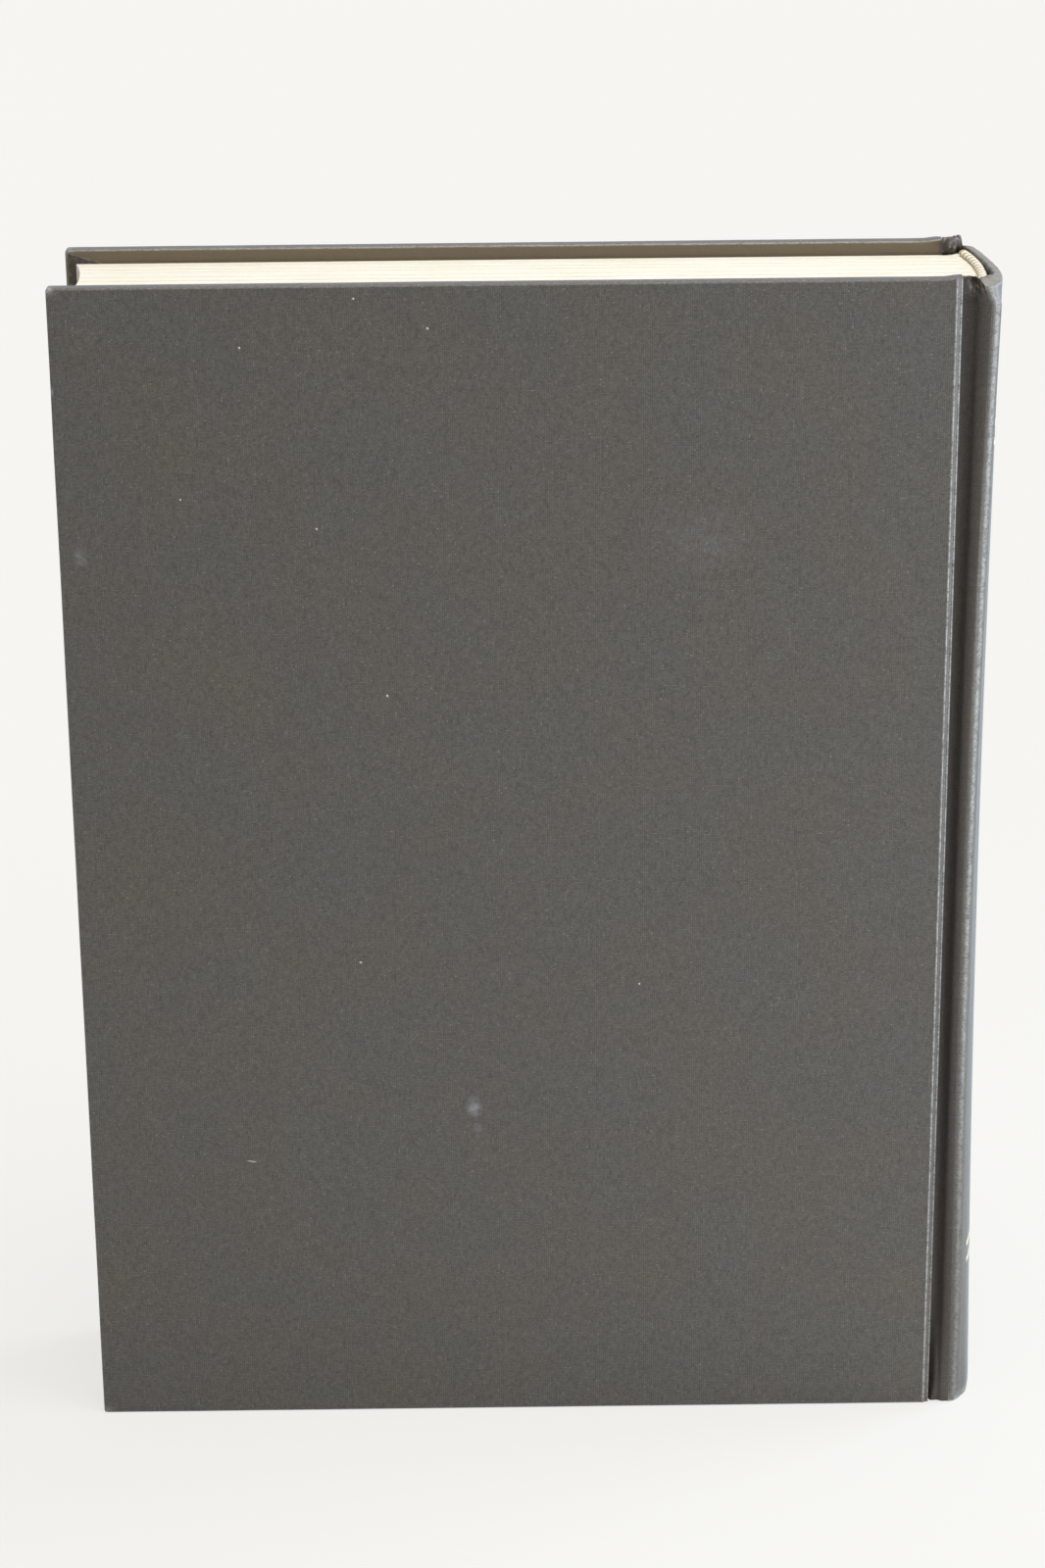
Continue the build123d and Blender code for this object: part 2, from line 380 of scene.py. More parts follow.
def make_paper(name, pale, deep, cloud_size, fibre_size, roughness, leaf_tints=None):
    """Uncoated paper or board: dull, with a faint cloudiness and relief from its fibres."""
    fibre_height = 0.03 * MM
    material, tree, shader = new_material(name)
    place = add(tree, "ShaderNodeTexCoord", out="Object")
    cloud = grain(tree, place, cloud_size * MM, 4.0)
    fibre = grain(tree, place, fibre_size * MM, 3.0)
    tone = ramp(tree, maths(tree, "MULTIPLY_ADD", fibre, 0.5, cloud), 0.5, 1.0)
    colour = mix(tree, tone, linear(deep), linear(pale))
    if leaf_tints:
        # Each leaf is a shade apart from the next, so the block shows fine lines
        tint = mix(tree, attribute(tree, "leaf"), *map(linear, leaf_tints))
        colour = mix(tree, 1.0, colour, tint, "MULTIPLY")
    bump = add(tree, "ShaderNodeBump", {"Strength": 0.25, "Distance": fibre_height, "Height": fibre})
    gloss = {"Roughness": roughness, "Specular IOR Level": 0.25}
    feed(tree, shader, {"Base Color": colour, "Normal": bump, **gloss})
    return material


def make_thread(name, colour):
    """Twisted cotton thread: soft and dull, with a fine twist."""
    twist = 0.35 * MM
    material, tree, shader = new_material(name)
    place = add(tree, "ShaderNodeTexCoord", out="Object")
    fibre = grain(tree, place, twist, 2.0)
    between_fibres = 0.82
    shadow = [channel * between_fibres for channel in linear(colour)[:3]] + [1.0]
    twisted = mix(tree, fibre, shadow, linear(colour))
    feed(tree, shader, {"Base Color": twisted, "Roughness": 0.7, "Specular IOR Level": 0.25})
    return material


def make_foil():
    """Pale pigment foil, stamped: nearly flat, a little satin, worn through by the weave here and there."""
    speck = 0.5 * MM
    material, tree, shader = new_material("cream_pigment_foil")
    place = add(tree, "ShaderNodeTexCoord", out="Object")
    wear = ramp(tree, grain(tree, place, speck, 3.0), 0.3, 0.5)
    colour = mix(tree, wear, linear("#6F6A5C"), linear("#D9CFAE"))
    feed(tree, shader, {"Base Color": colour, "Roughness": 0.45})
    return material


bookcloth = make_bookcloth()
# Trimmed page edges, cream and dull
page_tints = ("#FAF7F0", "#FFFFFF")
page_paper = make_paper("trimmed_book_paper", "#FDFBF5", "#FAF6EC", 18.0, 0.5, 0.75, page_tints)
# Endpapers, the lining of the back, the boards and the spine's card
endpaper = make_paper("cream_wove_endpaper", "#EDE7D8", "#E9E2D2", 14.0, 0.8, 0.8)
kraft = make_paper("brown_kraft_lining", "#A88A62", "#94764F", 9.0, 0.7, 0.85)
grey_board = make_paper("grey_binders_board", "#8C8478", "#6F685D", 5.0, 0.6, 0.9)
spine_card = make_paper("grey_spine_card", "#8F887A", "#777062", 6.0, 0.6, 0.9)
# The thread of the bands, bright cream and faded black, and specks of lint
cream_thread = make_thread("cream_cotton_thread", "#FCF3DC")
dark_thread = make_thread("black_cotton_thread", "#564C40")
lint = make_thread("pale_lint", "#CFC8BA")
foil = make_foil()


# Covers
CREST_WIDTH = 0.15
CREST_HEIGHT = 0.07
INNER_CREASE = 0.24
EAR_REACH = 5.0
EAR_HEIGHT = 0.45
EDGE_WAVE = 0.07
# How strongly edges and corners are rubbed, and how wide the pale line on a crease is, partly rub and
# partly a painted highlight
EDGE_RUB = 0.2
CORNER_RUB = 0.6
CREASE_RUB_AND_HIGHLIGHT = 0.17


def crease_drop(x):
    """How far the cloth lies below the face beside the groove: a bevel between two raised creases."""
    outer, inner = cover_width - BEVEL_WIDTH, cover_width - INNER_CREASE
    slope = BEVEL_DROP * soft_step((x - outer) / (0.75 * BEVEL_WIDTH))
    return slope - CREST_HEIGHT * (bell(x - outer, CREST_WIDTH) + 1.6 * bell(x - inner, CREST_WIDTH))


def cover_lines():
    """The lattice of a cover: close together at soft edges and creases, wide apart between."""
    soft = [share * EDGE_RADIUS for share in (0, 0.33, 0.59, 0.8, 1)]
    rim = soft + [CORNER_RADIUS, 1.2, 2.4, 4.0, 8.0]
    creases = [4.0, 2.4, 1.85, 1.65, 1.53, 1.44, 1.35, 1.26, 1.17, 1.05]
    creases += [0.85, 0.65, 0.48, 0.36, 0.26, 0.18, 0.1, 0.04, 0.0]
    across = rim + lines(TURN_IN, cover_width - 8.0, 8.0) + [cover_width - d for d in creases]
    middle = lines(TURN_IN, cover_top - TURN_IN, 8.0)
    up = rim + middle + [cover_top - d for d in reversed(rim)]
    deep = soft + [cover_depth / 2] + [cover_depth - d for d in reversed(soft)]
    return across, deep, up


def cover_point(x, y, z, head_rub):
    """A point of a plain box, moved onto the cover's soft form, and how worn its place is, counting the
    painted highlight on the creases.
    """
    if x >= cover_width:
        y = BEVEL_DROP + y * (1 - BEVEL_DROP / cover_depth)
    near_x = max(x, CORNER_RADIUS)
    near_z = min(max(z, CORNER_RADIUS), cover_top - CORNER_RADIUS)
    out_x, out_z = x - near_x, z - near_z
    rho = max(abs(out_x), abs(out_z))
    worn = 0.0
    if rho > 0:
        length = hypot(out_x, out_z)
        beyond = rho - (CORNER_RADIUS - EDGE_RADIUS)
        off = y - min(max(y, EDGE_RADIUS), cover_depth - EDGE_RADIUS)
        if beyond > 0 and off != 0:
            reach = max(beyond, abs(off)) / hypot(beyond, off)
            slant = min(beyond, abs(off)) / max(beyond, abs(off))
            worn = (EDGE_RUB + head_rub * soft_step(2 * out_z)) * soft_step(1.6 * slant)
            rho, y = CORNER_RADIUS - EDGE_RADIUS + beyond * reach, y - off + off * reach
        x, z = near_x + out_x / length * rho, near_z + out_z / length * rho
    if y < cover_depth / 2 and x < cover_width:
        y += crease_drop(x) * soft_step((cover_width - x) / 0.01)
    outer, inner = cover_width - BEVEL_WIDTH, cover_width - INNER_CREASE
    # Pale lines along the two creases, partly rub and partly a painted highlight
    if y < BEVEL_DROP + EDGE_RADIUS:
        inner_rub_and_highlight = (0.5 + 0.5 * z / cover_top) * bell(x - inner, CREASE_RUB_AND_HIGHLIGHT)
        worn = max(worn, bell(x - outer, CREASE_RUB_AND_HIGHLIGHT), inner_rub_and_highlight)
    corner = hypot(x, min(z, cover_top - z))
    worn = min(1.0, worn + CORNER_RUB * bell(corner, 1.5))
    ear = EAR_HEIGHT * soft_step(1 - (cover_width - x) / EAR_REACH)
    z += ear * soft_step((z - cover_top + EAR_REACH) / EAR_REACH)
    z += EDGE_WAVE * ripple(x / 22, y / 9, 3) * (soft_step((z - 250) / 30) - soft_step((30 - z) / 30))
    x += EDGE_WAVE * ripple(z / 26, y / 9, 5) * soft_step((30 - x) / 30)
    return (x, y, z), worn


def make_cover_cloth(side):
    """Cloth over the face and edges of a board, turned in on three sides."""
    across, deep, up = cover_lines()
    last_x, last_y, last_z = len(across) - 1, len(deep) - 1, len(up) - 1
    turn_x = across.index(TURN_IN)
    low_turn = up.index(TURN_IN)
    high_turn = last_z - low_turn
    fray, head_rub = (0.5, 0.0) if side == "rear" else (0.25, 0.35)
    index, points, wear, turned, torn = {}, [], [], [], []

    def corner(i, j, k):
        if (i, j, k) not in index:
            index[i, j, k] = len(points)
            point, worn = cover_point(across[i], deep[j], up[k], head_rub)
            points.append((fore_x + point[0], face_y + point[1], point[2]))
            wear.append(worn)
            turned.append(soft_step((deep[j] - cover_depth + EDGE_RADIUS) / EDGE_RADIUS))
            torn.append(fray * soft_step((up[k] - cover_top + EDGE_RADIUS) / EDGE_RADIUS))
        return index[i, j, k]

    faces, uvs = [], []

    def patch(keys, flat):
        faces.append([corner(*key) for key in keys])
        uvs.append([flat(across[i], deep[j], up[k]) for i, j, k in keys])

    def square(a, b):
        return [(a, b), (a + 1, b), (a + 1, b + 1), (a, b + 1)]

    for i in range(last_x):
        for k in range(last_z):
            patch([(a, 0, b) for a, b in square(i, k)], lambda x, y, z: (x, z))
            if i < turn_x or k < low_turn or k >= high_turn:
                inside = [(a, last_y, b) for a, b in square(i, k)[::-1]]
                patch(inside, lambda x, y, z: (x, z + 0.5 * TURN_IN))
    for j in range(last_y):
        for k in range(last_z):
            patch([(0, a, b) for a, b in square(j, k)[::-1]], lambda x, y, z: (-y, z))
            patch([(last_x, a, b) for a, b in square(j, k)], lambda x, y, z: (x + y, z))
        for i in range(last_x):
            patch([(a, b, 0) for a, b in square(i, j)[::-1]], lambda x, y, z: (x, z - y))
            patch([(a, b, last_z) for a, b in square(i, j)], lambda x, y, z: (x, z + y))
    if side == "front":
        faces = [face[::-1] for face in faces]
        uvs = [face[::-1] for face in uvs]
    marks = {"wear": wear, "turned": turned, "torn": torn}
    name = f"{side}_cover_bookcloth"
    piece = make_piece(name, on_side(side, points), faces, [bookcloth], uvs, marks=marks, closed=False)
    thicken(piece, 0.9 * CLOTH)
    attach(piece, f"{side}_cover")
    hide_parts(f"{side}_cover_cloth")


FOLD_THICK = 0.12
FOLD_REACH = 15.0
FOLD_DROP = 4.8
FOLD_RIM = 0.75


def make_corner_fold(side, end):
    """The tucked corner of the turn-ins, a thin lap whose scuffed edge slants away from the corner."""
    top = cover_top - FOLD_RIM if end == "head" else FOLD_RIM
    down = -1 if end == "head" else 1
    shares = (0, 0.2, 0.4, 0.6, 0.8, 1)
    slant = [(FOLD_RIM + FOLD_REACH * t, top + down * FOLD_DROP * t) for t in shares]
    low = [(FOLD_RIM + FOLD_REACH * t, top + down * TURN_IN * (1 - 0.2 * t)) for t in shares]
    points, faces, wear = [], [], []
    inner_y = face_y + cover_depth
    for depth in (-0.02, FOLD_THICK):
        for a, b in zip(slant, low):
            near = (a[0], a[1] + down * 0.3)
            for x, z in (a, near, b):
                points.append((fore_x + x, inner_y + depth, z))
                wear.append(0.9 if (x, z) == a else 0.0)
    count = len(points) // 2
    for row in range(len(slant) - 1):
        for step in (0, 1):
            square = [3 * row + step, 3 * row + step + 1, 3 * row + step + 4, 3 * row + step + 3]
            faces.append(square)
            faces.append([i + count for i in reversed(square)])
        for side_line in (0, 2):
            a, b = 3 * row + side_line, 3 * row + side_line + 3
            faces.append([a, b, b + count, a + count])
    for first in (0, 3 * (len(slant) - 1)):
        for step in (0, 1):
            a, b = first + step, first + step + 1
            faces.append([a, b, b + count, a + count])
    uvs = [[(points[i][0], points[i][2]) for i in face] for face in faces]
    # The lap is darkened with the torn colours as painted shade of the tucked cloth
    marks = {"wear": wear, "torn": [0.45] * len(points), "turned": [0.1] * len(points)}
    name = f"{side}_{end}_corner_fold"
    piece = make_piece(name, on_side(side, points), faces, [bookcloth], uvs, marks=marks)
    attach(piece, f"{side}_cover")


PASTE_SQUARE = 4.0
PASTE_DIP = 0.12


def make_pastedown(side):
    """The glued half of an endpaper, which sinks a little where the turn-ins under it end."""
    inner_y = face_y + cover_depth + PAPER
    steps = [TURN_IN + d for d in (-1.0, 0.0, 0.3, 0.6, 0.9, 1.2, 1.5)]
    across = [PASTE_SQUARE] + steps + lines(30.0, cover_width - 2.0, 12.0) + [cover_width - 0.4]
    up = [PASTE_SQUARE] + steps + lines(30.0, cover_top - 30.0, 12.0)
    up += [cover_top - z for z in reversed([PASTE_SQUARE] + steps)]
    points, faces = [], []
    for x in across:
        for z in up:
            past = min(x, z, cover_top - z) - TURN_IN
            points.append((fore_x + x, inner_y - PASTE_DIP * soft_step(past / 1.5), z))
    for i in range(len(across) - 1):
        for k in range(len(up) - 1):
            a, b = i * len(up) + k, (i + 1) * len(up) + k
            faces.append([a, a + 1, b + 1, b] if side == "rear" else [a, b, b + 1, a + 1])
    piece = make_piece(f"{side}_pastedown_sheet", on_side(side, points), faces, [endpaper], closed=False)
    thicken(piece, 0.8 * PAPER)
    shade(piece.data)
    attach(piece, f"{side}_cover")
    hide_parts(f"{side}_pastedown")


# Lint on the rear cover: x, z, half length, half width in millimetres, and turn in degrees
LINT = (
    (-41.6, 121.4, 0.38, 0.22, 20),
    (-33.8, 188.7, 0.32, 0.25, 70),
    (-39.5, 283.0, 0.32, 0.25, 0),
    (-22.9, 276.0, 0.35, 0.28, 40),
    (-65.5, 272.0, 0.28, 0.25, 10),
    (-80.2, 236.6, 0.25, 0.2, 50),
    (-49.2, 229.3, 0.28, 0.25, 30),
    (25.2, 115.0, 0.28, 0.25, 80),
    (-69.4, 69.1, 1.2, 0.12, 8),
)


def make_lint():
    """Flecks of lint and paper dust that cling to the weave."""
    work = bmesh.new()
    for x, z, length, width, turn in LINT:
        place = Matrix.Translation(Vector((x, face_y - 0.02, z)) * MM)
        place = place @ Matrix.Rotation(radians(turn), 4, "Y")
        size = Matrix.Diagonal(Vector((length, 0.1, width, 1 / MM)) * MM)
        bmesh.ops.create_icosphere(work, subdivisions=2, radius=1.0, matrix=place @ size)
    mesh = bpy.data.meshes.new("lint_flecks")
    work.to_mesh(mesh)
    work.free()
    mesh.materials.append(lint)
    shade(mesh, 60.0)
    piece = new_object("lint_flecks", mesh)
    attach(piece, "rear_cover")


# Grooves and spine
# The ridge rolls over more softly than on the solids, and its pale line, partly rub and partly a painted
# highlight, lies a share of the way across the spine
RIDGE_RADIUS = 2.85
RIDGE_RUB_AND_HIGHLIGHT = 0.075
RIDGE_RUB_AND_HIGHLIGHT_WIDTH = 0.024
# The turned-in cloth fills the groove at the tail
TAIL_FILL = 2.2
TAIL_REACH = 26.0
TAIL_FOOT = 5.0
# The spine is pinched at its waist, spread at its ends and pushed flat at the head
WAIST_HEIGHT = 160.0
WAIST_IN = 0.5
FLARE_OUT = 1.57
RIDGE_SLANT = 0.0075
RIDGE_UPRIGHT = 130.0
HEAD_LEAN = 1.4
LEAN_START = 225.0
LEAN_REACH = 60.0
# Beyond this distance from the middle, on the rear side, the cap is closed over the headband
CAP_CLOSED = 9.0
# Painted shade down the grooves, and cloth that is worn through at their heads, which on the front is the
# inside of a fold
# painted dark as shade: place and half width as shares of the way to the ridge, height above the spine's
# top, and half height
GROOVE_SHADE = 0.46
TEARS = {"rear": (0.6, 0.45, 0.2, 2.6), "front": (0.5, 0.85, -0.7, 3.4)}
FRONT_FOLD_RISE = 0.8
FRONT_FOLD_HANG = 1.3


def flare(z):
    """How far the spine stands out: pinched at the waist, spread at head and tail."""
    return FLARE_OUT * ((z - WAIST_HEIGHT) / (cover_top / 2)) ** 2 - WAIST_IN


def ridge_shift(z):
    """How far the rear ridge stands towards the spine: a slant from tail to head, drawn in at both ends."""
    head = 1.8 * soft_step((z - spine_top + 5.0) / 5.0)
    return RIDGE_SLANT * (z - RIDGE_UPRIGHT) - 0.45 * soft_step((30.0 - z) / 30.0) - head


def head_lean(y, z):
    """How far the spine has been pushed flat at the head, most of all in its front half."""
    lean = soft_step((y + 16.0) / 22.0) * (1 - 0.5 * soft_step((y - 10.0) / 12.0))
    return HEAD_LEAN * lean * soft_step((z - LEAN_START) / LEAN_REACH)


def spine_shift(y, z):
    """How far a place on the spine lies from the solid's round."""
    return flare(z) + ridge_shift(z) * soft_step((-y - 17.0) / 5.0) - head_lean(y, z)


def on_spine(x, y, z, share, along):
    """A place on the solid's spine, moved to where the worn spine lies."""
    return x + spine_shift(y, z), y, z


def tail_drop(z):
    """How far the cloth's tail reaches down past the solid's, nearly to the foot of the boards."""
    return (spine_tail - 0.1) * soft_step((20.0 - z) / 20.0)


def arc(centre_x, radius, turns):
    """Points on an arc about a place on the book's middle plane."""
    return [(centre_x + radius * cos(turn), radius * sin(turn)) for turn in turns]


def groove_lines(near, far):
    """Two lines across the groove, from the board to the ridge, at two depths below the cloth's face."""
    outer, inner = [], []
    for x in lines(board_x - 0.05, floor_x, 0.3)[:-1]:
        outer.append((x, floor_y + near))
        inner.append((x, floor_y + far))
    turns = [groove_turn * i / 9 for i in range(10)]
    for turn in turns:
        centre_y = floor_y - groove_radius
        for line, depth in ((outer, near), (inner, far)):
            reach = groove_radius + depth
            line.append((floor_x + reach * sin(turn), centre_y + reach * cos(turn)))
    for turn in turns[-2::-1] + [-0.004]:
        centre_y = ridge_y + groove_radius
        for line, depth in ((outer, near), (inner, far)):
            reach = groove_radius - depth
            line.append((ridge_x - reach * sin(turn), centre_y - reach * cos(turn)))
    return outer, inner


def spine_lines():
    """The spine's outer line from ridge to ridge, and the line of its folded cloth inside the hollow."""
    fillet_y = ridge_y + RIDGE_RADIUS
    fillet_x = spine_centre_x + sqrt((spine_radius - RIDGE_RADIUS) ** 2 - fillet_y**2)
    end_turn = atan(fillet_y / (fillet_x - spine_centre_x))
    fold_radius = spine_radius - 2 * CLOTH - CARD
    fold_y = ridge_y + 1.2 * CLOTH
    fold_x = spine_centre_x + sqrt(fold_radius**2 - fold_y**2)
    fold_turn = atan(fold_y / (fold_x - spine_centre_x))
    outer = [(x, ridge_y) for x in (ridge_x, ridge_x + 0.02)]
    for turn in [(pi / 2 + end_turn) * i / 10 for i in range(1, 11)]:
        outer.append((fillet_x + RIDGE_RADIUS * sin(turn), fillet_y - RIDGE_RADIUS * cos(turn)))
    whole = len(outer) - 1
    inner = [(ridge_x + (fold_x - ridge_x) * i / whole, fold_y) for i in range(len(outer))]
    shares = [1 - i / 24 for i in range(1, 25)]
    outer += arc(spine_centre_x, spine_radius, [end_turn * share for share in shares])
    inner += arc(spine_centre_x, fold_radius, [fold_turn * share for share in shares])
    outer += [(x, -y) for x, y in reversed(outer[:-1])]
    inner += [(x, -y) for x, y in reversed(inner[:-1])]
    return outer, inner


def flat_rim(low, high):
    """The rim of a strip with square ends."""
    return [(0.0, low), (0.0, high), (1.0, high), (1.0, low)]


def swept_shell(name, side, lines_pair, rim, materials, start_u=0.0, shape=None, kind=None, mark=None):
    """A closed shell: a rim of (share of the way inwards, height), carried along a line and one inside."""
    outer, inner = lines_pair
    points, faces, uvs, kinds = [], [], [], []
    marks = {"wear": [], "torn": [], "painted_groove_shade": [], "turned": []}
    along = [start_u]
    for a, b in zip(outer, outer[1:]):
        along.append(along[-1] + hypot(b[0] - a[0], b[1] - a[1]))
    round_rim = [0.0]
    width = hypot(inner[0][0] - outer[0][0], inner[0][1] - outer[0][1])
    for a, b in zip(rim, rim[1:] + rim[:1]):
        round_rim.append(round_rim[-1] + hypot((b[0] - a[0]) * width, b[1] - a[1]))
    count = len(rim)
    for i, (a, b) in enumerate(zip(outer, inner)):
        for share, z in rim:
            x, y = a[0] + (b[0] - a[0]) * share, a[1] + (b[1] - a[1]) * share
            way = i / (len(outer) - 1)
            points.append(shape(x, y, z, share, way) if shape else (x, y, z))
            # A point's marks: its rub, which on the ridge is partly a painted highlight, its tear, and
            # painted shade in the groove
            rubbed, frayed, painted_shade = mark(way, share, z) if mark else (0.0, 0.0, 0.0)
            # Cloth on the inner side is browned, and partly lightened as painted bounce light from the
            # pages
            browned_and_bounce_lit = soft_step(share * 2.5) * (1 - min(1.0, 1.5 * frayed))
            for values, value in zip(marks.values(), (rubbed, frayed, painted_shade, browned_and_bounce_lit)):
                values.append(value)
    for i in range(len(outer) - 1):
        for j in range(count):
            k = (j + 1) % count
            faces.append([i * count + j, i * count + k, (i + 1) * count + k, (i + 1) * count + j])
            low, high = round_rim[j] + rim[0][1], round_rim[j + 1] + rim[0][1]
            uvs.append([(along[i], low), (along[i], high), (along[i + 1], high), (along[i + 1], low)])
            kinds.append(kind(rim[j], rim[k]) if kind else 0)
    for row in (0, len(outer) - 1):
        faces.append([row * count + j for j in range(count)])
        uvs.append([(along[row] + share, z) for share, z in rim])
        kinds.append(0)
    return make_piece(name, on_side(side, points), faces, materials, uvs, kinds, marks)


def strip_heights(low, high, inset):
    """Heights along a strip, close together near the head, where its edges bend."""
    heights = lines(low + inset, low + TURN_IN, 2.0) + lines(low + TURN_IN, high - TURN_IN, 6.0)[1:-1]
    return heights + lines(high - TURN_IN, high - 8.0, 2.0) + lines(high - 8.0, high - inset, 0.4)[1:]


def strip_rim(low, high, thick):
    """The rim of a strip with round ends."""
    half = thick / 2
    heights = strip_heights(low, high, half)
    rim = [(0.0, z) for z in heights]
    rim += [(0.5 - 0.5 * cos(pi * k / 6), high - half + half * sin(pi * k / 6)) for k in range(1, 6)]
    rim += [(1.0, z) for z in reversed(heights)]
    rim += [(0.5 + 0.5 * cos(pi * k / 6), low + half - half * sin(pi * k / 6)) for k in range(1, 6)]
    return rim


def make_joint(side):
    """The strip in a groove: cloth outside, endpaper inside, folded at both ends and torn at the head."""
    thick = 2 * CLOTH
    rise = cover_top - spine_top + (0.0 if side == "rear" else FRONT_FOLD_RISE)
    tear_along, tear_width, tear_rise, tear_half = TEARS[side]
    tear_z = spine_top + tear_rise

    def tear(along, z):
        away = hypot((along - tear_along) / tear_width, (z - tear_z) / tear_half)
        return soft_step(1.6 * (1.1 - away + 0.35 * ripple(along * 7, z / 1.3, 13)))

    def shape(x, y, z, share, along):
        to_ridge = soft_step((x - floor_x) / groove_run)
        x += to_ridge * spine_shift(ridge_y if side == "rear" else -ridge_y, z)
        foot = soft_step((TAIL_FOOT - z) / TAIL_FOOT)
        from_board = soft_step((x - board_x + 0.4 * foot) / (2.0 - 0.9 * foot))
        y -= TAIL_FILL * (1 - to_ridge) * soft_step((TAIL_REACH - z) / TAIL_REACH) * from_board
        inward = 1.5 * CLOTH * tear(along, z) * soft_step(1 - 2 * share)
        top = soft_step((z - spine_top + 3.0) / 3.0)
        fall = soft_step((along - 0.6) / 0.4) if side == "rear" else soft_step((along - 0.85) / 0.15)
        curl = 0.35 * bell(along - 0.9, 0.06) + 0.3 * ripple(along * 8, share, 11)
        if side == "front":
            over_pages = soft_step((z - pages_high.z + 0.6) / 0.5)
            inward += FRONT_FOLD_HANG * over_pages * soft_step(2 * share - 1)
        lift = top * (rise * (1 - fall) + curl * bell(along - 0.6, 0.4))
        return x, y + inward, z + lift - tail_drop(z)

    def inside(a, b):
        between = pages_low.z < min(a[1], b[1]) and max(a[1], b[1]) < pages_high.z - 1.2
        return 1 if a[0] == b[0] == 1.0 and between else 0

    def worn(along, share, z):
        top = soft_step((z - spine_top + 0.6) / 0.6)
        # On the front, the inside of the fold at the head is painted dark with the torn colours as its
        # shade
        torn = tear(along, z) * (soft_step(2 - 2 * share) if side == "rear" else soft_step(share * 2))
        fluff = bell(along - 0.4, 0.13) * bell(z - spine_top + 1.5, 0.8) if side == "rear" else 0.0
        # Painted shade down the outer side of the groove, short of the ridge
        painted_shade = GROOVE_SHADE * soft_step((1 - along) / 0.1) * soft_step(1 - 2 * share)
        return max(fluff, 0.5 * top * bell(along - 0.95, 0.05)), torn, painted_shade

    name = f"{side}_joint_bookcloth"
    both_lines = groove_lines(0.0, thick)
    rim = strip_rim(spine_tail, spine_top, thick)
    start_u = cover_width + cover_depth
    piece = swept_shell(name, side, both_lines, rim, [bookcloth, endpaper], start_u, shape, inside, worn)
    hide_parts(f"{side}_joint_cloth")
    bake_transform(piece)


def make_spine():
    """Cloth over the card, rounded over at head and tail and turned down inside the hollow."""
    cloth_share = CLOTH / (2 * CLOTH + CARD)
    between = lines(spine_tail + TURN_IN, spine_top - TURN_IN, 6.0)
    heights = strip_heights(spine_tail, spine_top, 0.5)
    # The round of an end: share of the way inwards, and depth below the end
    cap = [(0.015, 0.27), (0.05, 0.11), (0.12, 0.03), (0.25, 0.0)]
    cap += [(0.5, 0.0), (0.75, 0.02), (0.9, 0.08), (0.97, 0.25)]
    rim = [(0.0, z) for z in heights]
    rim += [(share, spine_top - down) for share, down in cap]
    rim += [(1.0, spine_top - 1.0), (1.0, spine_top - 6.0), (1.0, spine_top - TURN_IN)]
    rim += [(cloth_share, z) for z in reversed(between)]
    rim += [(1.0, spine_tail + TURN_IN), (1.0, spine_tail + 6.0), (1.0, spine_tail + 1.0)]
    rim += [(share, spine_tail + 0.6 * down) for share, down in reversed(cap)]

    def shape(x, y, z, share, along):
        top = soft_step((z - spine_top + 3.0) / 3.0)
        inner = soft_step(share * 2 - 1)
        ragged = (0.5 * ripple(y / 2.4, 0.0, 23) - 0.15) * max(0.0, 1 - (y / 18) ** 2)
        lift = top * (0.12 * ripple(y / 4, share, 21) + 0.3 * inner * ripple(y / 2.2, share, 22))
        x += spine_shift(y, z) + ragged * top * inner
        closed = max(0.0, -CAP_CLOSED - y)
        lip = inner * soft_step((z - spine_top + 0.9) / 0.9)
        y += 0.75 * lip * closed
        return x, y, z + lift + 0.4 * lip * soft_step(closed / 4) - tail_drop(z)

    def worn(along, share, z):
        # The pale line along the ridge is partly rub and partly a painted highlight, fainter towards the
        # tail
        ridge = bell(min(along, 1 - along) - RIDGE_RUB_AND_HIGHLIGHT, RIDGE_RUB_AND_HIGHLIGHT_WIDTH)
        ridge *= (0.22 + 0.33 * soft_step((z - 30.0) / 120.0)) * soft_step(1 - share * 4)
        at_head = soft_step(z - spine_top + 1.2)
        rim_wear = 0.35 * at_head + soft_step(spine_tail + 1.0 - z)
        cap_tear = at_head * soft_step((share - 0.75) / 0.2)
        return min(1.0, max(ridge, 0.6 * rim_wear)), 0.7 * cap_tear, 0.0

    start_u = cover_width + cover_depth + groove_run
    both_lines = spine_lines()
    piece = swept_shell("spine_bookcloth", "rear", both_lines, rim, [bookcloth], start_u, shape, mark=worn)
    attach(piece, "book_block")
    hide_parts("spine_cloth")
    card_rim = [(cloth_share, z) for z in heights]
    card_rim += [(1 - cloth_share, z) for _, z in reversed(card_rim)]
    card = swept_shell("spine_card_strip", "rear", both_lines, card_rim, [spine_card], shape=on_spine)
    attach(card, "book_block")
    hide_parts("spine_inlay")


# Pages
LEAF_PITCH = 0.3
LEAF_FILL = 0.96
TRIM_SPREAD = 0.06
LEAF_GAP = 0.08
LEAF_SHORT = 0.1


def new_tree(name, sizes):
    """A geometry tree with a mesh in and out and an input for each size, which has a kind and a value."""
    tree = bpy.data.node_groups.new(name, "GeometryNodeTree")
    tree.interface.new_socket("Geometry", in_out="INPUT", socket_type="NodeSocketGeometry")
    tree.interface.new_socket("Geometry", in_out="OUTPUT", socket_type="NodeSocketGeometry")
    for label, (kind, _) in sizes.items():
        tree.interface.new_socket(label, in_out="INPUT", socket_type=f"NodeSocket{kind}")
    return tree, add(tree, "NodeGroupInput", out=None).outputs


